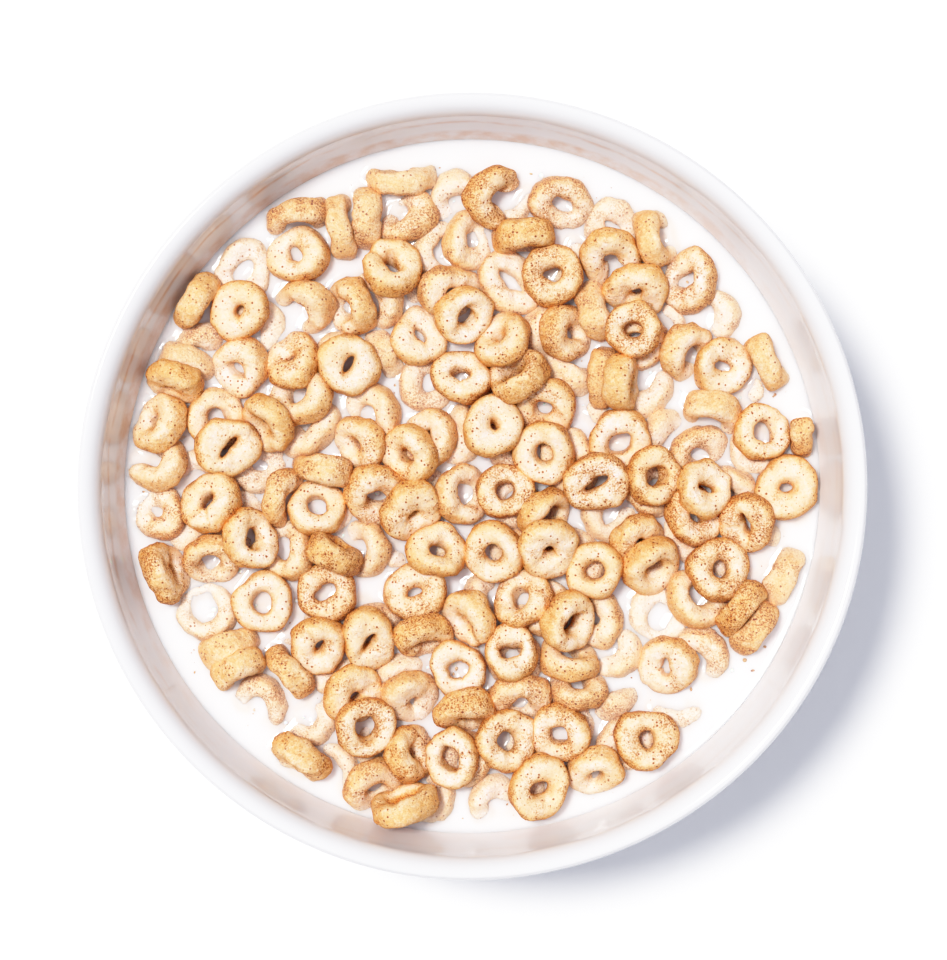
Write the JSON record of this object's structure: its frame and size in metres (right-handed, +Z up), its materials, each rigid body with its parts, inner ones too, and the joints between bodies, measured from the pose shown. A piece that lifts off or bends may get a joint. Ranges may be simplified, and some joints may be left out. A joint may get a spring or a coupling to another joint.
{
  "type": "bowl of cereal",
  "caption": "Round white bowl on a foot ring, filled with milk and a floating heap of cinnamon-dusted ring cereal, for a breakfast table.",
  "frame": {"origin": "bottom centre of the bowl, in the plane that its foot ring stands on", "axes": "+Z up through the bowl's axis; +X and +Y are level, and the bowl has no front"},
  "size_m": [0.165, 0.165, 0.062],
  "materials": {
    "glaze": "glossy white glazed porcelain",
    "milk": "fresh white milk, wet and glossy",
    "cereal": "dry toasted grain rings with a dusting of cinnamon"
  },
  "bodies": {
    "root": {"bowl": "glaze", "milk": "milk", "cereal": "cereal"}
  },
  "joints": []
}
